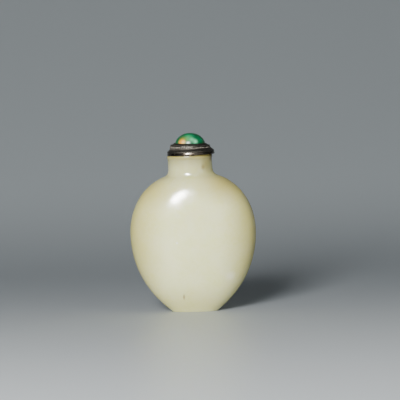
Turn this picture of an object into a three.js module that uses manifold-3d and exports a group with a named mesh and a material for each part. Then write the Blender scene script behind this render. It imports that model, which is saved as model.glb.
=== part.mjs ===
// A snuff bottle of pale nephrite, ground to a flattened ovoid and hollowed through its neck, with a
// loose stopper: a cork plug under a silver mount that holds a domed green stone.
//
// Millimetres, +Z up. The broad faces look along -Y (front) and +Y (back), and +X is on the right of
// someone who faces the front. The origin is on the ground under the middle of the oval foot.
import * as THREE from "three";
import { mergeVertices } from "three/addons/utils/BufferGeometryUtils.js";
import Module from "manifold-3d";

const wasm = await Module();
wasm.setup();

const degrees = THREE.MathUtils.degToRad;

// ---- Driving dimensions ---------------------------------------------------------------------------

const RIM_HEIGHT = 56.3; // ground to the mouth's rim
const BELLY_HEIGHT = 28.9; // where the body is widest
const BELLY_WIDTH = 45.2;
const BELLY_DEPTH = 27.9;
const WALL = 4; // jade left at the belly once the inside is hollowed
const FLOOR = 6; // jade left over the foot

const FOOT_WIDTH = 16.2; // the flat oval that touches the ground
const FOOT_DEPTH = 8.6;
const FOOT_EDGE = 0.35; // its softened outer corner
const FOOT_RIM = 1.3; // width of the flat round the shallow dish in the underside
const DISH_SLOPE = 0.8; // run of the dish's sides
const DISH_DEPTH = 0.6;
const DISH_HOLLOW = 0.1; // how much of that depth the dish gains towards its middle

// Guides of the outline, as half-width, half-depth and height. It passes through the shoulder, and
// is drawn towards the other two.
const FLANK = [20.95, 12.93, 10.05];
const TURN_IN = [19.85, 12.6, 44.9];
const SHOULDER = [9.6, 8.7, 48.8];
const BELLY_BELOW = 6.7; // the sides stay nearly upright this far below the belly
const BELLY_ABOVE = 5.9; // and this far above it
const SHOULDER_RUN = 0.14; // how far the shoulder's slope runs on before it turns up into the neck

const NECK_RADIUS = 7.92;
const NECK_BASE = 51.6; // height at which the shoulder has turned into the straight neck
const NECK_RUN = 1; // the last of that turn
const LIP_RADIUS = 8.1;
const LIP_HEIGHT = 1.3;
const LIP_EDGE = 0.35; // softened corner of the lip
const LIP_STEP = 0.15; // the lip swells from the neck over twice this height
const BORE_RADIUS = 3.75;
const BORE_EDGE = 0.3;
const BORE_END = 47.8; // height at which the bore opens into the hollow body
const BORE_RUN = 2.8; // how far the bore's line runs on as it opens
const HOLLOW_ABOVE = 11.9; // the inside stays nearly upright this far above the belly
const HOLLOW_BELOW = 10; // and this far below it
const FLOOR_SPREAD = 0.65; // flat share of the inside floor

const NECK_LEAN = degrees(1.3); // the neck is ground a little out of true, towards -X,
const NECK_SHIFT = 0.6; // and off the middle of the foot
const SQUARENESS = 0.7; // how much fuller than an ellipse a very flat cross-section would be
const BODY_SEGMENTS = 60;

const SEAT_GAP = 0.15; // clearance between the rim and the mount, and over the cork
const MOUNT_RADIUS = 8.6; // the mount's upright edge
const MOUNT_OFFSET = 0.5; // the mount sits this far to +X of its cork
const EDGE_HEIGHT = 0.95;
const EDGE_ROUND = 0.2; // softened corners of that edge
const GROOVE = 0.15; // height and depth of the groove over it
const HOLLOW_RADIUS = 6.6; // the mount is a sheet-metal cap, open below
const SKIRT_HEIGHT = 2.35;
const SKIRT_FLARE = 0.5; // how far the skirt climbs steeply before it turns in, and at its top
const CROWN_TILT = degrees(-2.6); // the crown was soldered to the skirt out of true
const CROWN_SHIFT = -0.23;
const BAND_RADIUS = 7.3;
const BAND_BOTTOM = 1.9; // all heights on the mount are from its underside
const BAND_HEIGHT = 1.1;
const CUP_FLOOR = 2.3;
const CUP_PLATE = 0.8; // metal between the hollow and the cup
const CUP_LIP = 4.15;
const CUP_WALL = 0.4; // metal round the stone
const CUP_EDGE = 0.15; // its thin turned-in edge
const COLLAR_RISE = 0.6; // the rounded step from the band to the cup
const FLUTES = 62;
const FLUTE_DEPTH = 0.16;
const FLUTE_BACKING = 0.14; // metal of the toothed ring behind a groove
const TURNED_SEGMENTS = 48;

const STONE_RADIUS = 5.35;
const STONE_GIRDLE = 3.55; // height of the stone's widest section over the mount's underside
const STONE_RISE = 4.15; // girdle to apex
const STONE_EDGE = 0.3; // chamfer round its flat back
const STONE_CLEARANCE = 0.12;

const CORK_TOP_RADIUS = 3.45;
const CORK_TIP_RADIUS = 3.2;
const CORK_EDGE = 0.3;
const CORK_DEPTH = 7; // how far the cork reaches into the bore

// ---- Shaping tools --------------------------------------------------------------------------------

// A station of the bottle's wall: the half-width, half-depth and height of one oval section.
const station = (halfWidth, halfDepth, height) => new THREE.Vector3(halfWidth, halfDepth, height);
const round = (radius, height) => station(radius, radius, height);

const sweep = (divisions, ...controls) => new THREE.CubicBezierCurve3(...controls).getPoints(divisions);

// Turns a line of stations into a closed skin: a lathe whose round sections are pressed to ovals.
// An oval is fuller than an ellipse in proportion to how flat it is, so the neck stays round.
function ovalSkin(stations, segments) {
  const outline = stations.map((s) => new THREE.Vector2(s.x, s.z));
  const skin = new THREE.LatheGeometry(outline, segments).rotateX(Math.PI / 2);
  const position = skin.attributes.position;
  for (let i = 0; i < position.count; i++) {
    const { x: halfWidth, y: halfDepth, z: height } = stations[i % stations.length];
    if (halfWidth === 0) continue;
    const power = 2 / (2 + SQUARENESS * (1 - halfDepth / halfWidth));
    const across = position.getX(i) / halfWidth;
    const along = position.getY(i) / halfWidth;
    const x = halfWidth * Math.sign(across) * Math.abs(across) ** power;
    const y = halfDepth * Math.sign(along) * Math.abs(along) ** power;
    position.setXYZ(i, x, y, height);
  }
  return skin;
}

// Above the belly the bottle's axis bends: its sections turn and shift until the neck is reached.
function bentAxis(height) {
  const climb = Math.max(0, height - BELLY_HEIGHT) / (RIM_HEIGHT - BELLY_HEIGHT);
  return { turn: NECK_LEAN * climb, shift: -NECK_SHIFT * climb ** 2 };
}

function leaned(geometry) {
  const position = geometry.attributes.position;
  for (let i = 0; i < position.count; i++) {
    const x = position.getX(i);
    const z = position.getZ(i);
    const { turn, shift } = bentAxis(z);
    position.setX(i, x * Math.cos(turn) + shift);
    position.setZ(i, z + x * Math.sin(turn));
  }
  return geometry;
}

function turned(outline) {
  const profile = outline.map(([radius, height]) => new THREE.Vector2(radius, height));
  return new THREE.LatheGeometry(profile, TURNED_SEGMENTS).rotateX(Math.PI / 2);
}

function solidOf(geometry) {
  const bare = geometry.clone();
  bare.deleteAttribute("normal");
  bare.deleteAttribute("uv");
  const merged = mergeVertices(bare, 1e-4);
  return new wasm.Manifold(
    new wasm.Mesh({
      numProp: 3,
      vertProperties: merged.attributes.position.array,
      triVerts: merged.index.array,
    }),
  );
}

function geometryOf(solid) {
  const mesh = solid.getMesh();
  return new THREE.BufferGeometry()
    .setAttribute("position", new THREE.BufferAttribute(mesh.vertProperties, 3))
    .setIndex(new THREE.BufferAttribute(mesh.triVerts, 1));
}

function piece(name, geometry, { color, roughness, metalness = 0 }) {
  const mesh = new THREE.Mesh(geometry, new THREE.MeshStandardMaterial({ color, roughness, metalness }));
  mesh.name = name;
  return mesh;
}

// ---- Bottle ---------------------------------------------------------------------------------------

// Underside, foot, belly, shoulder and neck, from the middle of the dish up to the rim.
function outside() {
  const atBelly = (height) => station(BELLY_WIDTH / 2, BELLY_DEPTH / 2, height);
  const foot = (inset, height) => station(FOOT_WIDTH / 2 - inset, FOOT_DEPTH / 2 - inset, height);
  const turnIn = station(...TURN_IN);
  const shoulder = station(...SHOULDER);
  const neck = (height) => round(NECK_RADIUS, height);
  const lipBase = RIM_HEIGHT - LIP_HEIGHT;
  return [
    station(0, 0, DISH_DEPTH),
    foot(FOOT_RIM + DISH_SLOPE, DISH_DEPTH - DISH_HOLLOW),
    foot(FOOT_RIM, 0),
    foot(0, 0),
    foot(-0.7 * FOOT_EDGE, 0.3 * FOOT_EDGE),
    ...sweep(
      10,
      foot(-FOOT_EDGE, FOOT_EDGE),
      station(...FLANK),
      atBelly(BELLY_HEIGHT - BELLY_BELOW),
      atBelly(BELLY_HEIGHT),
    ),
    ...sweep(9, atBelly(BELLY_HEIGHT), atBelly(BELLY_HEIGHT + BELLY_ABOVE), turnIn, shoulder).slice(1),
    ...sweep(
      4,
      shoulder,
      shoulder.clone().lerp(turnIn, -SHOULDER_RUN),
      neck(NECK_BASE - NECK_RUN),
      neck(NECK_BASE),
    ).slice(1),
    neck(lipBase - LIP_STEP),
    round(LIP_RADIUS, lipBase + LIP_STEP),
    round(LIP_RADIUS, RIM_HEIGHT - LIP_EDGE),
    round(LIP_RADIUS - 0.3 * LIP_EDGE, RIM_HEIGHT - 0.3 * LIP_EDGE),
    round(LIP_RADIUS - LIP_EDGE, RIM_HEIGHT),
  ];
}

// Rim, bore and hollow body, from the mouth down to the inside floor.
function inside() {
  const halfWidth = BELLY_WIDTH / 2 - WALL;
  const halfDepth = BELLY_DEPTH / 2 - WALL;
  const atBelly = (height) => station(halfWidth, halfDepth, height);
  const bore = (height) => round(BORE_RADIUS, height);
  return [
    round(BORE_RADIUS + BORE_EDGE, RIM_HEIGHT),
    bore(RIM_HEIGHT - BORE_EDGE),
    ...sweep(
      7,
      bore(BORE_END),
      bore(BORE_END - BORE_RUN),
      atBelly(BELLY_HEIGHT + HOLLOW_ABOVE),
      atBelly(BELLY_HEIGHT),
    ),
    ...sweep(
      6,
      atBelly(BELLY_HEIGHT),
      atBelly(BELLY_HEIGHT - HOLLOW_BELOW),
      station(FLOOR_SPREAD * halfWidth, FLOOR_SPREAD * halfDepth, FLOOR),
      station(0, 0, FLOOR),
    ).slice(1),
  ];
}

function bottle() {
  const skin = ovalSkin([...outside(), ...inside()], BODY_SEGMENTS);
  return piece("bottle", leaned(skin), { color: 0xd9d7c2, roughness: 0.22 });
}

// ---- Stopper --------------------------------------------------------------------------------------

// The mount's foot: a ring with an upright edge, a fine groove over it, and a flared skirt that climbs
// inwards to the fluted band.
function skirt() {
  const climb = new THREE.CubicBezierCurve(
    new THREE.Vector2(MOUNT_RADIUS - GROOVE, EDGE_HEIGHT + GROOVE),
    new THREE.Vector2(MOUNT_RADIUS - EDGE_ROUND, EDGE_HEIGHT + SKIRT_FLARE),
    new THREE.Vector2(BAND_RADIUS + EDGE_ROUND, SKIRT_HEIGHT - SKIRT_FLARE),
    new THREE.Vector2(BAND_RADIUS - EDGE_ROUND, SKIRT_HEIGHT),
  );
  const foot = [HOLLOW_RADIUS, 0];
  return turned([
    foot,
    [MOUNT_RADIUS - EDGE_ROUND, 0],
    [MOUNT_RADIUS, EDGE_ROUND],
    [MOUNT_RADIUS, EDGE_HEIGHT - EDGE_ROUND],
    [MOUNT_RADIUS - GROOVE, EDGE_HEIGHT],
    ...climb.getPoints(4).map((p) => [p.x, p.y]),
    [HOLLOW_RADIUS, SKIRT_HEIGHT],
    foot,
  ]);
}

// The mount's crown: a disc that closes the skirt, with the wall behind the flutes and the cup whose
// lip closes over the stone.
function crown() {
  const cup = STONE_RADIUS + STONE_CLEARANCE;
  const wall = BAND_RADIUS - FLUTE_DEPTH - FLUTE_BACKING;
  const bandTop = BAND_BOTTOM + BAND_HEIGHT;
  const underside = CUP_FLOOR - CUP_PLATE;
  return turned([
    [0, underside],
    [wall, underside],
    [wall, bandTop],
    [wall - CUP_EDGE, bandTop + 0.4 * COLLAR_RISE],
    [wall - CUP_WALL, bandTop + COLLAR_RISE],
    [cup + CUP_WALL, CUP_LIP - CUP_EDGE],
    [cup + CUP_EDGE, CUP_LIP],
    [cup, CUP_LIP - CUP_EDGE],
    [cup, CUP_FLOOR],
    [0, CUP_FLOOR],
  ]);
}

// The band of upright flutes: a toothed ring, with one crest and one groove for each flute.
function flutedBand() {
  const outline = new THREE.Shape();
  for (let i = 0; i < 2 * FLUTES; i++) {
    const angle = (Math.PI * i) / FLUTES;
    const radius = BAND_RADIUS - (i % 2 ? FLUTE_DEPTH : 0);
    const point = [radius * Math.cos(angle), radius * Math.sin(angle)];
    if (i === 0) outline.moveTo(...point);
    else outline.lineTo(...point);
  }
  const inner = BAND_RADIUS - FLUTE_DEPTH - 2 * FLUTE_BACKING;
  outline.holes.push(new THREE.Path().absarc(0, 0, inner, 0, 2 * Math.PI, true));
  const band = new THREE.ExtrudeGeometry(outline, {
    depth: BAND_HEIGHT,
    bevelEnabled: false,
    curveSegments: TURNED_SEGMENTS / 2,
  });
  return band.translate(0, 0, BAND_BOTTOM);
}

// Puts what belongs to the crown at its own slant over the skirt.
const crowned = (geometry) => geometry.rotateY(-CROWN_TILT).translate(CROWN_SHIFT, 0, 0);

function stopperMount() {
  const metal = solidOf(skirt())
    .add(solidOf(crowned(crown())))
    .add(solidOf(crowned(flutedBand())));
  return piece("stopper_mount", geometryOf(metal), { color: 0x4a4741, roughness: 0.42, metalness: 1 });
}

// A flat-backed dome: a quarter ellipse over a short girdle.
function cabochon() {
  const back = CUP_FLOOR + STONE_CLEARANCE;
  const dome = new THREE.EllipseCurve(0, STONE_GIRDLE, STONE_RADIUS, STONE_RISE, 0, Math.PI / 2);
  const arc = dome.getPoints(9).map((p) => [p.x, p.y]);
  arc[arc.length - 1][0] = 0;
  const outline = [[0, back], [STONE_RADIUS - STONE_EDGE, back], [STONE_RADIUS, back + STONE_EDGE], ...arc];
  return piece("cabochon", crowned(turned(outline)), { color: 0x1d8f5c, roughness: 0.1 });
}

function cork() {
  const top = CUP_FLOOR - CUP_PLATE - SEAT_GAP;
  const outline = [
    [0, -CORK_DEPTH],
    [CORK_TIP_RADIUS - CORK_EDGE, -CORK_DEPTH],
    [CORK_TIP_RADIUS, -CORK_DEPTH + CORK_EDGE],
    [CORK_TOP_RADIUS, top],
    [0, top],
  ];
  return piece("cork", turned(outline), { color: 0xb58f62, roughness: 0.9 });
}

// The stopper stands square to the leaning rim. The mount sits a little off the neck's middle.
function stopper() {
  const cap = new THREE.Group().add(stopperMount(), cabochon());
  cap.position.set(MOUNT_OFFSET, 0, SEAT_GAP);

  const whole = new THREE.Group().add(cork(), cap);
  whole.position.set(bentAxis(RIM_HEIGHT).shift, 0, RIM_HEIGHT);
  whole.rotation.y = -NECK_LEAN;
  return whole;
}

const snuffBottle = new THREE.Group().add(bottle(), stopper());

export default snuffBottle;
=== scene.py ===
"""A snuff bottle of pale nephrite and its loose stopper: a cork under an oxidised silver cap with a
domed green stone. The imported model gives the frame, and every piece here stands for one of its nodes.
"""

import math

import bpy
from bpy.props import FloatProperty, FloatVectorProperty, IntProperty, PointerProperty
from mathutils import Matrix, Vector
from mathutils.geometry import interpolate_bezier
from mathutils.kdtree import KDTree


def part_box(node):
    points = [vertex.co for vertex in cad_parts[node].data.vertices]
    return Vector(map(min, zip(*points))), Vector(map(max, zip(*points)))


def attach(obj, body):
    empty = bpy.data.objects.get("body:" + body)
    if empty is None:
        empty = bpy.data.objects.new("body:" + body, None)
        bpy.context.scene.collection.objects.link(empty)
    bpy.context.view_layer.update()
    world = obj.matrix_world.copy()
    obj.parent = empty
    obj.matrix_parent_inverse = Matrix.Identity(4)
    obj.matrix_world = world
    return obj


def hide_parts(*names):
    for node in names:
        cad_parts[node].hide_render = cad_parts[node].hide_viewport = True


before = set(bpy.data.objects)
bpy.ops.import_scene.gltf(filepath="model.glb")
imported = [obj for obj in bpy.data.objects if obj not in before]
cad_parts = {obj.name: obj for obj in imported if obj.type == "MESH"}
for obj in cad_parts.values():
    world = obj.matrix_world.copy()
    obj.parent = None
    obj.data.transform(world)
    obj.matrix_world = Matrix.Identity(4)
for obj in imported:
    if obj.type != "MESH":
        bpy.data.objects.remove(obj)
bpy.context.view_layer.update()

bl_info = {
    "name": "Nephrite snuff bottle",
    "version": (1, 0, 0),
    "blender": (4, 5, 0),
    "location": "3D View > Sidebar > Snuff bottle",
    "description": "Builds a nephrite snuff bottle, its silver-mounted stopper and a plain studio",
    "category": "Add Mesh",
}

MM = 0.001
BOTTLE_HIGH = Vector(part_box("bottle")[1])
ROUND_STEPS = 96  # steps round each turned piece of the stopper


def linear(code):
    """The linear colour of an sRGB hex value."""
    channels = [int(code[i : i + 2], 16) / 255 for i in (1, 3, 5)]
    return [c / 12.92 if c <= 0.04045 else ((c + 0.055) / 1.055) ** 2.4 for c in channels] + [1.0]


# The marks in the nephrite and its painted shade: colour, strength, centre and half size, in millimetres.
# In order, a tan streak by the foot, painted shade on the two shoulders that also yellows them, a brown
# cloud and the olive stone round it on the right of the neck, painted shade on the lip's right under the
# overhanging mount, a white fleck, and a pale patch low on the right.
NEPHRITE_MARKS_AND_SHADE = [
    (tint, strength, Vector(centre) * MM, Vector(size) * MM)
    for tint, strength, centre, size in (
        ("#8f6c38", 0.75, (-3.9, -8.4, 6.0), (0.55, 3, 1.6)),
        # Painted shade on the two shoulders, darker and yellower.
        ("#bdac50", 0.7, (11, -6, 46), (14, 14, 10)),
        ("#c2b35c", 0.5, (-13, -6, 44), (12, 14, 10)),
        ("#8c7236", 0.6, (4.1, -6.5, 52.2), (1.0, 3, 1.5)),
        ("#968646", 0.5, (5.2, -5.4, 53.0), (2.6, 5, 4.0)),
        # Painted shade on the lip's right, under the overhanging mount.
        ("#6e5820", 0.85, (7.3, -2.4, 55.6), (1.8, 4, 2.4)),
        ("#ffffff", 0.9, (-5.84, -13.6, 25.9), (0.6, 2, 0.6)),
        ("#fbf9e6", 0.6, (12.7, -9.3, 13.2), (2.6, 4, 2.6)),
    )
]


# ---- Settings -------------------------------------------------------------------------------------


def length(name, description, millimetres):
    return FloatProperty(
        name=name, description=description, default=millimetres * MM, min=0, unit="LENGTH", precision=5
    )


def angle(name, description, degrees):
    return FloatProperty(name=name, description=description, default=math.radians(degrees), unit="ROTATION")


def watts(name, description, power):
    return FloatProperty(name=name, description=description, default=power, min=0, unit="POWER")


def colour(name, description, code):
    return FloatVectorProperty(
        name=name, description=description, default=linear(code), size=4, min=0, max=1, subtype="COLOR"
    )


class BottleSettings(bpy.types.PropertyGroup):
    """The jade vessel."""

    rim_height: length("Rim height", "Ground to the mouth's rim", 56.3)
    belly_height: length("Belly height", "Height at which the body is widest", 28.9)
    wall: length("Wall", "Jade left at the belly once the inside is hollowed", 4)
    floor: length("Floor", "Jade left over the foot", 6)
    foot_width: length("Foot width", "Width of the flat oval on the ground", 16.2)
    foot_depth: length("Foot depth", "Depth of the flat oval on the ground", 8.6)
    foot_rim: length("Foot rim", "Width of the flat round the shallow dish in the underside", 1.3)
    dish_depth: length("Dish depth", "Depth of the dish in the underside", 0.6)
    neck_radius: length("Neck radius", "Radius of the neck", 7.92)
    neck_base: length("Neck base", "Height at which the shoulder has turned into the neck", 51.6)
    lip_radius: length("Lip radius", "Radius of the faint lip round the mouth", 8.1)
    lip_height: length("Lip height", "Height of the lip", 1.3)
    bore_radius: length("Bore radius", "Radius of the bore in the neck", 3.75)
    bore_end: length("Bore end", "Height at which the bore opens into the body", 47.8)
    neck_lean: angle("Neck lean", "How far the neck is ground out of true, towards -X", 1.3)
    neck_shift: length("Neck shift", "How far the neck stands off the middle of the foot", 0.6)
    squareness: FloatProperty(
        name="Squareness", description="How much fuller than an ellipse a flat section is", default=0.7
    )
    slices: IntProperty(name="Slices", description="Steps round the bottle", default=144, min=24)
    stone: colour("Nephrite", "The stone away from its edges", "#eef0b0")
    cloud: colour("Clouding", "The denser, whiter felting in the stone", "#f4f5cc")
    # Painted shade: greys and darkens the upper shoulders, and more the neck, where light is lost through the
    # thin wall.
    thin: colour("Thin stone", "The stone where it is thin, at the neck", "#9c9566")
    # Painted shade at the sides, darkening and yellowing them; it also darkens and yellows the stone towards
    # the foot.
    skin: colour("Skin", "The stone near the pebble's old skin, at the sides and foot", "#bcaf58")
    # The lip's yellower tone, with painted shade under the mount.
    rim_tint_and_shade: colour("Rim", "The yellower stone round the mouth", "#a89a55")


class StopperSettings(bpy.types.PropertyGroup):
    """The silver mount, its stone and its cork. Heights are from the mount's underside."""

    seat_gap: length("Seat gap", "Clearance between the rim and the mount", 0.15)
    mount_radius: length("Mount radius", "Radius of the mount's upright edge", 8.6)
    mount_offset: length("Mount offset", "The mount sits this far to +X of its cork", 0.5)
    edge_height: length("Edge height", "Height of the polished edge", 0.95)
    edge_lean: length("Edge lean", "How far the edge's face leans in over its height", 0.2)
    hollow_radius: length("Hollow radius", "Inside of the sheet-metal skirt", 6.6)
    skirt_height: length("Skirt height", "Height of the skirt", 2.35)
    crown_tilt: angle("Crown tilt", "The crown was soldered to the skirt out of true", -2.6)
    crown_shift: FloatProperty(
        name="Crown shift",
        description="How far the crown sits to +X of the skirt",
        default=-0.23 * MM,
        unit="LENGTH",
        precision=5,
    )
    band_radius: length("Band radius", "Radius over the flutes", 7.3)
    band_bottom: length("Band bottom", "Lower end of the flutes", 1.9)
    band_height: length("Band height", "Length of a flute", 1.1)
    cup_floor: length("Cup floor", "Height of the plate under the stone", 2.3)
    cup_plate: length("Cup plate", "Thickness of that plate", 0.8)
    cup_lip: length("Cup lip", "Height of the metal turned over the stone", 4.15)
    flutes: IntProperty(name="Flutes", description="Flutes round the band", default=62, min=12)
    stone_radius: length("Stone radius", "Radius of the domed stone", 5.35)
    stone_girdle: length("Stone girdle", "Height of the stone's widest section", 3.55)
    stone_rise: length("Stone rise", "Girdle to apex", 4.15)
    stone_clearance: length("Stone clearance", "Play between the stone and its cup", 0.12)
    cork_top_radius: length("Cork top radius", "Radius of the cork at the mount", 3.45)
    cork_tip_radius: length("Cork tip radius", "Radius of the cork's lower end", 3.2)
    cork_depth: length("Cork depth", "How far the cork reaches into the bore", 7)
    silver: colour("Worn silver", "The silver where it is rubbed bright", "#807a70")
    tarnish: colour("Tarnish", "The silver where it has darkened", "#2d2c28")
    film: colour("Brown film", "The film of tarnish on the polished edge", "#4d4034")
    green: colour("Green stone", "The body colour of the domed stone", "#08683e")
    deep: colour("Deep green", "The domed stone where it is darkest", "#033f24")
    cork: colour("Cork", "Cork", "#b58f62")


class StudioSettings(bpy.types.PropertyGroup):
    """The plain stage, its lights and the camera."""

    # The paper's grading is painted light and shade: paler in front and behind, a painted shade band where it
    # rises.
    paper_front: colour("Front paper", "The paper in front of the bottle", "#c5cacc")
    paper_painted_shade: colour("Grey band", "The paper where it starts to rise", "#91979b")
    paper_back_painted_light: colour("Back paper", "The paper behind", "#bec6c9")
    sweep_start: length("Sweep start", "How far behind the bottle the paper starts to rise", 120)
    sweep_radius: length("Sweep radius", "Radius of the paper's curve", 1300)
    key_power: watts("Key power", "Softbox at the left front", 13.4)
    strip_power: watts("Strip power", "Slanting strip light over it, seen only in gloss", 25)
    fill_power: watts("Fill power", "Large weak light at the right front", 1.2)
    camera_distance: length("Camera distance", "From the camera to the middle of the bottle", 850)
    camera_pitch: angle("Camera pitch", "How steeply the camera looks down", 5)
    camera_roll: angle("Camera roll", "The camera is held this far out of level", 1.56)


# ---- Modelling ------------------------------------------------------------------------------------


def only(piece):
    """Leaves one object selected and active, in object mode."""
    bpy.ops.object.select_all(action="DESELECT")
    piece.select_set(True)
    bpy.context.view_layer.objects.active = piece


def sweep(steps, *controls):
    """Points along a cubic curve. Its first point is left out: the stretch before it ends there."""
    return interpolate_bezier(*controls, steps + 1)[1:]


def quarter(start, corner, end, steps=4):
    """A rounded corner from start to end, as a curve that leaves towards the corner."""
    return [start, *sweep(steps, start, start.lerp(corner, 0.55), end.lerp(corner, 0.55), end)]


def at(radius, height):
    """A point of a turned outline."""
    return Vector((radius, 0, height))


def turned(name, outline, slices):
    """A turned skin: the outline is drawn edge by edge from one vertex, and spun about Z."""
    bpy.ops.object.select_all(action="DESELECT")
    bpy.ops.mesh.primitive_plane_add(size=MM)
    skin = bpy.context.object
    skin.name = name
    bpy.ops.object.mode_set(mode="EDIT")
    bpy.ops.mesh.merge(type="CENTER")
    bpy.ops.transform.translate(value=outline[0])
    for here, there in zip(outline, outline[1:]):
        bpy.ops.mesh.extrude_vertices_move(TRANSFORM_OT_translate={"value": there - here})
    bpy.ops.mesh.select_all(action="SELECT")
    bpy.ops.mesh.spin(steps=slices, angle=2 * math.pi, center=(0, 0, 0), axis=(0, 0, 1))
    bpy.ops.mesh.select_all(action="SELECT")
    bpy.ops.mesh.remove_doubles(threshold=1e-6)
    bpy.ops.mesh.normals_make_consistent(inside=False)
    bpy.ops.object.mode_set(mode="OBJECT")
    return skin


def finished(piece, place=Matrix(), sharp=35):
    """Applies a piece's place to its mesh and smooths all but its sharp edges."""
    piece.matrix_world = place @ piece.matrix_world
    only(piece)
    bpy.ops.object.transform_apply(location=True, rotation=True, scale=True)
    bpy.ops.object.shade_smooth_by_angle(angle=math.radians(sharp))
    return piece


def ringed(bead, count, radius, height, lean=0.0):
    """Copies of one bead in a ring about Z, each with its own mesh, the beads leaning along the ring."""
    copies = []
    for i in range(count):
        copy = bead.copy()
        copy.data = bead.data.copy()
        bpy.context.collection.objects.link(copy)
        around = Matrix.Rotation(2 * math.pi * i / count, 4, "Z")
        copy.matrix_world = around @ Matrix.Translation((radius, 0, height)) @ Matrix.Rotation(lean, 4, "X")
        copies.append(copy)
    bpy.data.objects.remove(bead)
    return copies


def bead(width, depth, height, segments=10, rings=8):
    """A long bead, its size given round the ring, out of the ring and up."""
    bpy.ops.object.select_all(action="DESELECT")
    bpy.ops.mesh.primitive_uv_sphere_add(segments=segments, ring_count=rings, radius=0.5)
    grain = bpy.context.object
    grain.scale = (depth, width, height)
    bpy.ops.object.transform_apply(scale=True)
    return grain


def joined(name, parts):
    """Joins separate meshes into one piece."""
    bpy.ops.object.select_all(action="DESELECT")
    for part in parts:
        part.select_set(True)
    bpy.context.view_layer.objects.active = parts[0]
    bpy.ops.object.join()
    parts[0].name = name
    return parts[0]


def dressed(piece, material):
    """Gives a piece its one material."""
    piece.data.materials.clear()
    piece.data.materials.append(material)
    return piece


def takes_over(piece, node):
    """The piece stands for its node in the frame."""
    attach(piece, "root")
    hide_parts(node)


# ---- Materials ------------------------------------------------------------------------------------


def node(tree, kind, inputs=None, output=0, **settings):
    """Adds a node with its settings, and gives back one of its outputs. An input is a value, or
    another node's output to link from."""
    new = tree.nodes.new(kind)
    for name, value in settings.items():
        setattr(new, name, value)
    for name, value in (inputs or {}).items():
        if isinstance(value, bpy.types.NodeSocket):
            tree.links.new(value, new.inputs[name])
        else:
            new.inputs[name].default_value = value
    return new.outputs[output] if new.outputs else None


def fresh(name):
    """A new material with an empty tree, and its Object coordinates."""
    material = bpy.data.materials.new(name)
    material.use_nodes = True
    tree = material.node_tree
    tree.nodes.clear()
    return material, tree, node(tree, "ShaderNodeTexCoord", output="Object")


def surfaced(tree, inputs):
    """The shader and the material's output, the last two nodes of every tree."""
    node(tree, "ShaderNodeOutputMaterial", {"Surface": node(tree, "ShaderNodeBsdfPrincipled", inputs)})


def mottled(tree, place, size, low=0.0, high=1.0, detail=3.0):
    """A cloudy pattern from low to high, its blotches about that size across."""
    settings = {"Vector": place, "Scale": 1 / size, "Detail": detail}
    cloud = node(tree, "ShaderNodeTexNoise", settings, "Fac")
    settings = {"Value": cloud, "From Min": 0.35, "From Max": 0.65, "To Min": low, "To Max": high}
    return node(tree, "ShaderNodeMapRange", settings, interpolation_type="SMOOTHSTEP")


def marked_and_painted(tree, place, body, marks):
    """Marks laid over a body colour: some are the stone's own, some painted light and shade. Each is a
    soft ellipsoid: a colour, how strong it is, its centre and its half size."""
    for tint, strength, centre, size in marks:
        shrink = [1 / s for s in size]
        shift = [-c / s for c, s in zip(centre, size)]
        local = node(tree, "ShaderNodeMapping", {"Vector": place, "Location": shift, "Scale": shrink})
        away = node(tree, "ShaderNodeVectorMath", {0: local}, "Value", operation="LENGTH")
        settings = {"Value": away, "From Min": 0, "From Max": 1, "To Min": strength, "To Max": 0}
        amount = node(tree, "ShaderNodeMapRange", settings, interpolation_type="SMOOTHSTEP")
        body = node(tree, "ShaderNodeMix", {0: amount, 6: body, 7: linear(tint)}, 2, data_type="RGBA")
    return body


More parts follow.
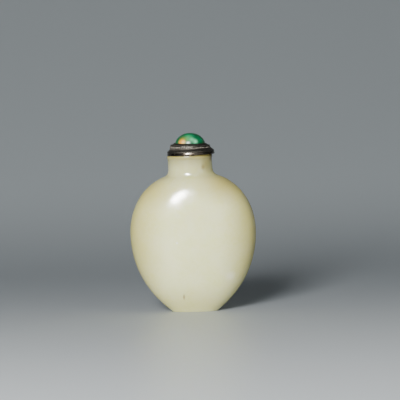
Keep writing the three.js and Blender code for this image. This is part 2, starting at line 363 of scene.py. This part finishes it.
def polished_nephrite(bottle):
    """Nephrite, ground and wax-polished: a felt of fine fibres that light enters and leaves again a
    few millimetres away, so shadows on it are soft. The gloss is waxy and a little uneven. The stone
    is cloudy inside. Painted shade lies in its colour: the sides and shoulders darker and yellower, the
    upper shoulders and the neck darker and greyer, and the lip darker under the mount over its own
    yellower tone. It is also darker and yellower towards the foot."""
    material, tree, place = fresh("polished_nephrite")
    across = node(tree, "ShaderNodeSeparateXYZ", {0: place}, "X")
    height = node(tree, "ShaderNodeSeparateXYZ", {0: place}, "Z")
    aside = node(tree, "ShaderNodeMath", {0: across}, operation="ABSOLUTE")

    def tinted(body, tint, value, none_at, full_at, most=1.0):
        settings = {"Value": value, "From Min": none_at, "From Max": full_at, "To Max": most}
        amount = node(tree, "ShaderNodeMapRange", settings, interpolation_type="SMOOTHSTEP")
        return node(tree, "ShaderNodeMix", {0: amount, 6: body, 7: tint}, 2, data_type="RGBA")

    clouds = mottled(tree, place, 7 * MM, 0, 0.5)
    fibres = mottled(tree, place, 1.3 * MM, 0, 0.35)
    body = node(tree, "ShaderNodeMix", {0: clouds, 6: bottle.stone, 7: bottle.cloud}, 2, data_type="RGBA")
    body = node(tree, "ShaderNodeMix", {0: fibres, 6: body, 7: bottle.cloud}, 2, data_type="RGBA")
    # Painted shade: the upper shoulders and then the neck greyed and darkened; on the neck it stands for
    # light lost through the thin wall.
    body = tinted(body, bottle.thin, height, bottle.belly_height + 8 * MM, bottle.neck_base, 0.4)
    body = tinted(body, bottle.thin, height, bottle.neck_base - MM, bottle.rim_height, 0.8)
    # Painted shade: darker and yellower towards the sides.
    body = tinted(body, bottle.skin, aside, 7 * MM, BOTTLE_HIGH.x, 0.68)
    # Darker and yellower towards the foot.
    body = tinted(body, bottle.skin, height, 13 * MM, 2 * MM, 0.4)
    # The lip's yellower tone, with painted shade under the mount.
    body = tinted(body, bottle.rim_tint_and_shade, height, bottle.rim_height - 1.6 * MM, bottle.rim_height, 0.8)
    body = marked_and_painted(tree, place, body, NEPHRITE_MARKS_AND_SHADE)
    swell = node(tree, "ShaderNodeTexNoise", {"Vector": place, "Scale": 1 / (6 * MM), "Detail": 1}, "Fac")
    surfaced(
        tree,
        {
            "Base Color": body,
            "Roughness": mottled(tree, place, 3 * MM, 0.17, 0.22),
            "IOR": 1.61,
            "Subsurface Weight": 1.0,
            "Subsurface Radius": (1.0, 0.9, 0.6),
            "Subsurface Scale": 3 * MM,
            "Normal": node(tree, "ShaderNodeBump", {"Height": swell, "Strength": 0.3, "Distance": 0.3 * MM}),
        },
    )
    return material


def oxidised_silver(stopper, crown):
    """Cast and chased silver, darkened by age: nearly black in the hollows, and rubbed paler on the
    outermost curve of each flute."""
    material, tree, place = fresh("oxidised_silver")
    turn = {"Vector": place, "Location": crown.to_translation(), "Rotation": crown.to_euler()}
    upright = node(tree, "ShaderNodeMapping", turn, vector_type="TEXTURE")
    flat = node(tree, "ShaderNodeVectorMath", {0: upright, 1: (1, 1, 0)}, operation="MULTIPLY")
    radius = node(tree, "ShaderNodeVectorMath", {0: flat}, "Value", operation="LENGTH")
    inward = node(tree, "ShaderNodeMath", {0: radius, 1: stopper.band_radius}, operation="SUBTRACT")
    inward = node(tree, "ShaderNodeMath", {0: inward}, operation="ABSOLUTE")
    settings = {"Value": inward, "From Min": 0.02 * MM, "From Max": 0.2 * MM, "To Min": 0.8, "To Max": 0}
    rubbed = node(tree, "ShaderNodeMapRange", settings, interpolation_type="SMOOTHSTEP")
    grain = mottled(tree, place, 0.4 * MM, 0, 0.45)
    worn = node(tree, "ShaderNodeMath", {0: rubbed, 1: grain}, operation="MAXIMUM")
    coat = node(tree, "ShaderNodeMix", {0: worn, 6: stopper.tarnish, 7: stopper.silver}, 2, data_type="RGBA")
    pits = mottled(tree, place, 0.25 * MM)
    surfaced(
        tree,
        {
            "Base Color": coat,
            "Metallic": 1.0,
            "Roughness": 0.45,
            "Normal": node(tree, "ShaderNodeBump", {"Height": pits, "Strength": 0.6, "Distance": 0.05 * MM}),
        },
    )
    return material


def burnished_silver(stopper):
    """The same silver where fingers keep it bright: the upright edge, brown-toned and glossy."""
    material, tree, place = fresh("burnished_silver")
    film = mottled(tree, place, 1.5 * MM, 0.2, 0.7)
    coat = node(tree, "ShaderNodeMix", {0: film, 6: stopper.film, 7: stopper.silver}, 2, data_type="RGBA")
    gloss = mottled(tree, place, 2 * MM, 0.18, 0.3)
    surfaced(tree, {"Base Color": coat, "Metallic": 1.0, "Roughness": gloss})
    return material


def green_stone(stopper, crown):
    """A cabochon of green chalcedony, cut domed and polished: dark and clear in depth, with a tan fleck
    low on its front, seen under a soft polish. Its colour also carries painted light: a paler green on its
    front left where the key falls, and a pale glow low on its right front where gathered light comes out."""
    material, tree, place = fresh("green_stone")

    def on_dome(bearing, lift):
        """The point of the dome that far round from the front and that far up from the girdle."""
        level = stopper.stone_radius * math.cos(math.radians(lift))
        turn = math.radians(bearing)
        rise = stopper.stone_girdle + stopper.stone_rise * math.sin(math.radians(lift))
        return crown @ Vector((level * math.sin(turn), -level * math.cos(turn), rise))

    def round_mark(tint, strength, bearing, lift, size):
        return tint, strength, on_dome(bearing, lift), [size * MM] * 3

    depth = mottled(tree, place, 2.5 * MM, 0, 0.5)
    body = node(tree, "ShaderNodeMix", {0: depth, 6: stopper.green, 7: stopper.deep}, 2, data_type="RGBA")
    body = marked_and_painted(
        tree,
        place,
        body,
        [
            # Painted light: a paler green on the front left, where the key falls.
            round_mark("#2c9a62", 0.8, -10, 46, 3.0),
            round_mark("#58a45c", 0.7, -14, 32, 2.0),
            # Painted light: a pale glow low on the right front, where light gathered through the dome comes
            # out.
            round_mark("#62bd88", 0.9, 8, 30, 1.4),
            round_mark("#74cc98", 0.95, 22, 19, 1.5),
            round_mark("#80802c", 0.9, -34, 24, 2.6),
            round_mark("#e89c3c", 1.0, -38, 14, 2.0),
            round_mark("#ffd080", 0.8, -28, 15, 1.2),
            round_mark("#5c3a20", 0.8, 62, 3, 1.0),
        ],
    )
    surfaced(
        tree,
        {
            "Base Color": body,
            "Roughness": 0.32,
            "IOR": 1.54,
            "Specular IOR Level": 0.35,
            "Subsurface Weight": 0.2,
            "Subsurface Radius": (0.3, 1.0, 0.5),
            "Subsurface Scale": 0.5 * MM,
        },
    )
    return material


def raw_cork(stopper):
    """Natural cork, cut and sanded: dull, with darker pores about half a millimetre across."""
    material, tree, place = fresh("raw_cork")
    cell = node(tree, "ShaderNodeTexVoronoi", {"Vector": place, "Scale": 1 / (1.2 * MM)}, "Distance")
    settings = {"Value": cell, "From Min": 0.1, "From Max": 0.35, "To Min": 0.7, "To Max": 0}
    pores = node(tree, "ShaderNodeMapRange", settings, interpolation_type="SMOOTHSTEP")
    body = node(tree, "ShaderNodeMix", {0: pores, 6: stopper.cork, 7: linear("#5a4028")}, 2, data_type="RGBA")
    surfaced(tree, {"Base Color": body, "Roughness": 0.9})
    return material


def paper_painted_falloff(studio):
    """Satin background paper, rolled out under and behind the object. Its colour carries painted light and
    shade: pale in front, a grey band of painted shade where it starts to rise, and paler again behind."""
    material, tree, place = fresh("paper_painted_falloff")
    depth = node(tree, "ShaderNodeSeparateXYZ", {0: place}, "Y")
    start = studio.sweep_start
    # Painted shade in a grey band where the paper rises, then painted light paler behind.
    settings = {"Value": depth, "From Min": start - 325 * MM, "From Max": start}
    painted_shade_band = node(tree, "ShaderNodeMapRange", settings, interpolation_type="SMOOTHSTEP")
    settings = {"Value": depth, "From Min": start, "From Max": start + 260 * MM}
    paler = node(tree, "ShaderNodeMapRange", settings, interpolation_type="SMOOTHSTEP")
    tones = {0: painted_shade_band, 6: studio.paper_front, 7: studio.paper_painted_shade}
    ramp = node(tree, "ShaderNodeMix", tones, 2, data_type="RGBA")
    ramp = node(tree, "ShaderNodeMix", {0: paler, 6: ramp, 7: studio.paper_back_painted_light}, 2, data_type="RGBA")
    surfaced(tree, {"Base Color": ramp, "Roughness": 0.45, "Specular IOR Level": 0.4})
    return material


# ---- Bottle ---------------------------------------------------------------------------------------


def station(half_width, half_depth, height):
    """One oval section of the bottle's wall."""
    return Vector((half_width, half_depth, height))


def outside_stations(bottle):
    """Underside, foot, belly, shoulder and neck, from the middle of the dish up to the rim."""
    half_width = BOTTLE_HIGH.x
    half_depth = BOTTLE_HIGH.y
    flatness = half_depth / half_width

    def foot(inset, height):
        return station(bottle.foot_width / 2 - inset, bottle.foot_depth / 2 - inset, height)

    def round_at(radius, height):
        return station(radius, radius, height)

    rim = bottle.rim_height
    lip = bottle.lip_radius
    lip_base = rim - bottle.lip_height
    neck = bottle.neck_radius
    edge = 0.35 * MM
    flank = station(20.95 * MM, 20.95 * MM * flatness, 10.05 * MM)
    below_belly = station(half_width, half_depth, 22.2 * MM)
    belly = station(half_width, half_depth, bottle.belly_height)
    above_belly = station(half_width, half_depth, 34.8 * MM)
    turn_in = station(19.85 * MM, 12.6 * MM, 44.9 * MM)
    shoulder = station(9.6 * MM, 8.7 * MM, 48.8 * MM)
    onward = shoulder.lerp(turn_in, -0.14)
    return [
        station(0, 0, bottle.dish_depth),
        foot(bottle.foot_rim + 0.8 * MM, bottle.dish_depth - 0.1 * MM),
        foot(bottle.foot_rim + 0.1 * MM, 0.08 * MM),
        foot(bottle.foot_rim - 0.1 * MM, 0),
        *quarter(foot(0, 0), foot(-0.8 * edge, 0), foot(-edge, edge)),
        *sweep(40, foot(-edge, edge), flank, below_belly, belly),
        *sweep(36, belly, above_belly, turn_in, shoulder),
        *sweep(14, shoulder, onward, round_at(neck, bottle.neck_base - MM), round_at(neck, bottle.neck_base)),
        round_at(neck, lip_base - 0.25 * MM),
        *sweep(
            5,
            round_at(neck, lip_base - 0.25 * MM),
            round_at(neck, lip_base),
            round_at(lip, lip_base),
            round_at(lip, lip_base + 0.3 * MM),
        ),
        *quarter(round_at(lip, rim - 0.35 * MM), round_at(lip, rim), round_at(lip - 0.35 * MM, rim)),
    ]


def inside_stations(bottle):
    """Rim, bore and hollow body, from the mouth down to the inside floor."""
    half_width = BOTTLE_HIGH.x - bottle.wall
    half_depth = BOTTLE_HIGH.y - bottle.wall
    waist = station(half_width, half_depth, bottle.belly_height)

    def bore(widening, height):
        return station(bottle.bore_radius + widening, bottle.bore_radius + widening, height)

    rim = bottle.rim_height
    return [
        *quarter(bore(0.3 * MM, rim), bore(0, rim), bore(0, rim - 0.35 * MM)),
        bore(0, bottle.bore_end),
        *sweep(
            16,
            bore(0, bottle.bore_end),
            bore(0, bottle.bore_end - 2.8 * MM),
            station(half_width, half_depth, bottle.bore_end - 7 * MM),
            waist,
        ),
        *sweep(
            16,
            waist,
            station(half_width, half_depth, bottle.belly_height - 10 * MM),
            station(0.65 * half_width, 0.65 * half_depth, bottle.floor),
            station(0, 0, bottle.floor),
        ),
    ]


def bent_axis(bottle, height):
    """Above the belly the bottle's axis turns and shifts until the neck is reached."""
    climb = max(0, height - bottle.belly_height) / (bottle.rim_height - bottle.belly_height)
    return bottle.neck_lean * climb, -bottle.neck_shift * climb**2


def pressed(skin, stations, bottle):
    """Presses each round ring of a turned skin to the oval of its station, and bends the axis. No
    operator moves vertices by a rule like this one."""
    rings = KDTree(len(stations))
    for i, ring in enumerate(stations):
        rings.insert((ring.x, 0, ring.z), i)
    rings.balance()
    for vertex in skin.data.vertices:
        radius = math.hypot(vertex.co.x, vertex.co.y)
        if radius < 1e-7:
            continue
        _, i, _ = rings.find((radius, 0, vertex.co.z))
        half_width, half_depth, height = stations[i]
        power = 2 / (2 + bottle.squareness * (1 - half_depth / half_width))
        across, along = vertex.co.x / radius, vertex.co.y / radius
        x = half_width * math.copysign(abs(across) ** power, across)
        y = half_depth * math.copysign(abs(along) ** power, along)
        turn, shift = bent_axis(bottle, height)
        vertex.co = (x * math.cos(turn) + shift, y, height + x * math.sin(turn))
    return skin


class SNUFF_OT_bottle(bpy.types.Operator):
    """Add the hollow jade bottle"""

    bl_idname = "snuff.bottle"
    bl_label = "Bottle"

    def execute(self, context):
        bottle = context.scene.snuff_bottle
        stations = outside_stations(bottle) + inside_stations(bottle)
        outline = [at(ring.x, ring.z) for ring in stations]
        vessel = pressed(turned("jade_bottle", outline, bottle.slices), stations, bottle)
        dressed(finished(vessel), polished_nephrite(bottle))
        takes_over(vessel, "bottle")
        return {"FINISHED"}


# ---- Stopper --------------------------------------------------------------------------------------


def rim_frame(bottle):
    """The middle of the rim, square to the leaning neck."""
    turn, shift = bent_axis(bottle, bottle.rim_height)
    return Matrix.Translation((shift, 0, bottle.rim_height)) @ Matrix.Rotation(-turn, 4, "Y")


def cap_frame(bottle, stopper):
    """The middle of the mount's underside."""
    return rim_frame(bottle) @ Matrix.Translation((stopper.mount_offset, 0, stopper.seat_gap))


def crown_frame(bottle, stopper):
    """The crown's own slant over the skirt."""
    aside = Matrix.Translation((stopper.crown_shift, 0, 0))
    return cap_frame(bottle, stopper) @ aside @ Matrix.Rotation(-stopper.crown_tilt, 4, "Y")


def polished_edge(stopper):
    """The edge round the mount's foot. Its face leans in a little, so it catches the light."""
    radius = stopper.mount_radius
    top = stopper.edge_height
    inner = stopper.hollow_radius
    upper_radius = radius - stopper.edge_lean
    lower = quarter(at(radius - 0.15 * MM, 0), at(radius, 0), at(radius, 0.15 * MM))
    start = at(upper_radius, top - 0.15 * MM)
    upper = quarter(start, at(upper_radius, top), at(upper_radius - 0.2 * MM, top))
    outline = [at(inner, 0), *lower, *upper, at(inner, top), at(inner, 0)]
    return turned("edge", outline, ROUND_STEPS)


def chased_skirt(stopper):
    """The flared skirt that climbs from a fine groove over the edge to the fluted band."""
    radius = stopper.mount_radius
    bottom = stopper.edge_height - 0.1 * MM
    start = at(radius - 0.12 * MM, stopper.edge_height + 0.15 * MM)
    top = stopper.skirt_height
    climb = sweep(
        12,
        start,
        at(radius - 0.2 * MM, stopper.edge_height + 0.5 * MM),
        at(stopper.band_radius + 0.3 * MM, top - 0.5 * MM),
        at(stopper.band_radius - 0.1 * MM, top),
    )
    inner = stopper.hollow_radius
    groove = at(radius - 0.3 * MM, bottom)
    outline = [at(inner, bottom), groove, start, *climb, at(inner, top), at(inner, bottom)]
    return turned("skirt", outline, ROUND_STEPS)


def stone_cup(stopper):
    """The crown: a plate that closes the skirt, the wall behind the flutes and the stone's bezel."""
    cup = stopper.stone_radius + stopper.stone_clearance
    wall = stopper.band_radius - 0.35 * MM
    band_top = stopper.band_bottom + stopper.band_height
    underside = stopper.cup_floor - stopper.cup_plate
    lip = stopper.cup_lip
    return turned(
        "cup",
        [
            at(0, underside),
            at(wall, underside),
            at(wall, band_top),
            at(wall - 0.1 * MM, band_top + 0.25 * MM),
            at(wall - 0.5 * MM, band_top + 0.6 * MM),
            at(cup + 0.4 * MM, lip - 0.25 * MM),
            *quarter(at(cup + 0.3 * MM, lip - 0.1 * MM), at(cup + 0.2 * MM, lip), at(cup, lip - 0.15 * MM)),
            at(cup, stopper.cup_floor),
            at(0, stopper.cup_floor),
        ],
        ROUND_STEPS,
    )


class SNUFF_OT_mount(bpy.types.Operator):
    """Add the silver mount: edge, skirt, fluted band, twisted wires and bezel"""

    bl_idname = "snuff.mount"
    bl_label = "Silver mount"

    def execute(self, context):
        bottle = context.scene.snuff_bottle
        stopper = context.scene.snuff_stopper
        cap = cap_frame(bottle, stopper)
        crown = crown_frame(bottle, stopper)
        dark = oxidised_silver(stopper, crown)
        edge = dressed(finished(polished_edge(stopper), cap), burnished_silver(stopper))
        skirt = dressed(finished(chased_skirt(stopper), cap), dark)
        cup = dressed(finished(stone_cup(stopper), crown), dark)
        pitch = 2 * math.pi * stopper.band_radius / stopper.flutes
        middle = stopper.band_bottom + stopper.band_height / 2
        flute = bead(0.7 * pitch, 0.6 * MM, 1.1 * stopper.band_height)
        flutes = ringed(flute, stopper.flutes, stopper.band_radius - 0.3 * MM, middle)
        band_top = stopper.band_bottom + stopper.band_height
        wire_bead = (0.5 * MM, 0.36 * MM, 0.36 * MM, 8, 6)
        lean = math.radians(35)
        wire = bead(*wire_bead)
        upper = ringed(wire, 84, stopper.band_radius - 0.4 * MM, band_top + 0.3 * MM, lean)
        wire = bead(*wire_bead)
        lower_height = stopper.band_bottom - 0.1 * MM
        lower = ringed(wire, 90, stopper.band_radius - 0.1 * MM, lower_height, lean)
        for grain in flutes + upper + lower:
            dressed(finished(grain, crown, 180), dark)
        mount = joined("silver_mount", [cup, edge, skirt, *flutes, *upper, *lower])
        takes_over(mount, "stopper_mount")
        return {"FINISHED"}


class SNUFF_OT_stone(bpy.types.Operator):
    """Add the domed green stone"""

    bl_idname = "snuff.stone"
    bl_label = "Green stone"

    def execute(self, context):
        bottle = context.scene.snuff_bottle
        stopper = context.scene.snuff_stopper
        radius = stopper.stone_radius
        back = stopper.cup_floor + stopper.stone_clearance
        girdle = stopper.stone_girdle
        outline = [at(0, back), at(radius - 0.3 * MM, back), at(radius, back + 0.4 * MM)]
        steps = 24
        for i in range(steps + 1):
            lift = math.pi / 2 * i / steps
            across = radius * math.cos(lift) if i < steps else 0
            outline.append(at(across, girdle + stopper.stone_rise * math.sin(lift)))
        crown = crown_frame(bottle, stopper)
        dome = finished(turned("green_cabochon", outline, ROUND_STEPS), crown)
        dressed(dome, green_stone(stopper, crown))
        takes_over(dome, "cabochon")
        return {"FINISHED"}


class SNUFF_OT_cork(bpy.types.Operator):
    """Add the cork that holds the stopper in the neck"""

    bl_idname = "snuff.cork"
    bl_label = "Cork"

    def execute(self, context):
        bottle = context.scene.snuff_bottle
        stopper = context.scene.snuff_stopper
        top = stopper.cup_floor - stopper.cup_plate - stopper.seat_gap
        tip = stopper.cork_tip_radius
        low = -stopper.cork_depth
        rounded = quarter(at(tip - 0.3 * MM, low), at(tip, low), at(tip, low + 0.3 * MM))
        outline = [at(0, low), *rounded, at(stopper.cork_top_radius, top), at(0, top)]
        plug = finished(turned("cork_plug", outline, 64), rim_frame(bottle))
        dressed(plug, raw_cork(stopper))
        takes_over(plug, "cork")
        return {"FINISHED"}


# ---- Studio ---------------------------------------------------------------------------------------


def softbox(name, bearing, rise, distance, width, height, power, roll=0):
    """An area light that faces the bottle. Its bearing is from the camera's side towards +X, its roll
    lifts its +X end, and all three angles are in degrees."""
    target = Vector((0, 0, 30 * MM))
    around, up = math.radians(bearing), math.radians(rise)
    way = Vector((math.sin(around) * math.cos(up), -math.cos(around) * math.cos(up), math.sin(up)))
    lamp = bpy.data.lights.new(name, "AREA")
    lamp.shape = "RECTANGLE"
    lamp.size = width
    lamp.size_y = height
    lamp.energy = power
    box = bpy.data.objects.new(name, lamp)
    bpy.context.collection.objects.link(box)
    turn = way.to_track_quat("Z", "Y").to_matrix() @ Matrix.Rotation(math.radians(roll), 3, "Z")
    box.matrix_world = Matrix.Translation(target + distance * way) @ turn.to_4x4()
    return box


def paper_sweep(studio):
    """Floor and backdrop in one roll of paper: flat under the bottle, then a long slow curve."""
    half = 1.6
    rise = math.radians(50)
    bpy.ops.object.select_all(action="DESELECT")
    bpy.ops.mesh.primitive_plane_add(size=2 * half, location=(0, studio.sweep_start - half, 0))
    paper = bpy.context.object
    paper.name = "paper_sweep"
    bpy.ops.object.transform_apply(location=True)
    bpy.ops.object.mode_set(mode="EDIT")
    bpy.ops.mesh.select_all(action="DESELECT")
    bpy.ops.object.mode_set(mode="OBJECT")
    for edge in paper.data.edges:
        ends = [paper.data.vertices[i].co.y for i in edge.vertices]
        edge.select = min(ends) > studio.sweep_start - MM
    bpy.ops.object.mode_set(mode="EDIT")
    centre = (0, studio.sweep_start, studio.sweep_radius)
    bpy.ops.mesh.spin(steps=40, angle=rise, center=centre, axis=(-1, 0, 0))
    bpy.ops.mesh.select_all(action="SELECT")
    bpy.ops.mesh.remove_doubles(threshold=1e-6)
    bpy.ops.object.mode_set(mode="OBJECT")
    return finished(paper)


class SNUFF_OT_studio(bpy.types.Operator):
    """Add the plain stage, its soft lights and the camera"""

    bl_idname = "snuff.studio"
    bl_label = "Studio"

    def execute(self, context):
        studio = context.scene.snuff_studio
        paper = dressed(paper_sweep(studio), paper_painted_falloff(studio))
        # The key lights the stone and casts the shadow, and the strip makes the gloss on the shoulder.
        key = softbox("key", -16, 21, distance=0.85, width=0.25, height=0.3, power=studio.key_power)
        key.visible_glossy = False
        strip = softbox("strip", -16.5, 31, 0.85, width=0.24, height=0.13, power=studio.strip_power, roll=40)
        strip.visible_diffuse = False
        softbox("fill", 40, 25, distance=1.2, width=0.9, height=0.9, power=studio.fill_power)
        world = bpy.data.worlds.new("studio_air")
        world.use_nodes = True
        world.node_tree.nodes["Background"].inputs["Color"].default_value = linear("#8c9296")
        world.node_tree.nodes["Background"].inputs["Strength"].default_value = 0.25
        context.scene.world = world
        self.camera(context, studio)
        return {"FINISHED"}

    def camera(self, context, studio):
        target = Vector((0, 0, 29 * MM))
        pitch = studio.camera_pitch
        back = Vector((0, -math.cos(pitch), math.sin(pitch)))
        lens = bpy.data.cameras.new("camera")
        lens.sensor_width = 36
        lens.lens = 212.7
        lens.shift_x = 0.0171
        lens.shift_y = 0.0764
        camera = bpy.data.objects.new("camera", lens)
        context.collection.objects.link(camera)
        turn = back.to_track_quat("Z", "Y").to_matrix().to_4x4()
        roll = Matrix.Rotation(-studio.camera_roll, 4, "Z")
        camera.matrix_world = Matrix.Translation(target + studio.camera_distance * back) @ turn @ roll
        context.scene.camera = camera


# ---- Add-on ---------------------------------------------------------------------------------------

OPERATORS = (SNUFF_OT_bottle, SNUFF_OT_mount, SNUFF_OT_stone, SNUFF_OT_cork, SNUFF_OT_studio)


class SNUFF_PT_panel(bpy.types.Panel):
    """Lists the pieces of the snuff bottle"""

    bl_idname = "SNUFF_PT_panel"
    bl_label = "Snuff bottle"
    bl_space_type = "VIEW_3D"
    bl_region_type = "UI"
    bl_category = "Snuff bottle"

    def draw(self, context):
        for operator in OPERATORS:
            self.layout.operator(operator.bl_idname)


SETTINGS = {"snuff_bottle": BottleSettings, "snuff_stopper": StopperSettings, "snuff_studio": StudioSettings}
CLASSES = (*SETTINGS.values(), *OPERATORS, SNUFF_PT_panel)


def register():
    for part in CLASSES:
        bpy.utils.register_class(part)
    for name, settings in SETTINGS.items():
        setattr(bpy.types.Scene, name, PointerProperty(type=settings))


def unregister():
    for name in SETTINGS:
        delattr(bpy.types.Scene, name)
    for part in reversed(CLASSES):
        bpy.utils.unregister_class(part)


def main():
    register()
    bpy.ops.snuff.bottle()
    bpy.ops.snuff.mount()
    bpy.ops.snuff.stone()
    bpy.ops.snuff.cork()
    bpy.ops.snuff.studio()


if __name__ == "__main__":
    main()
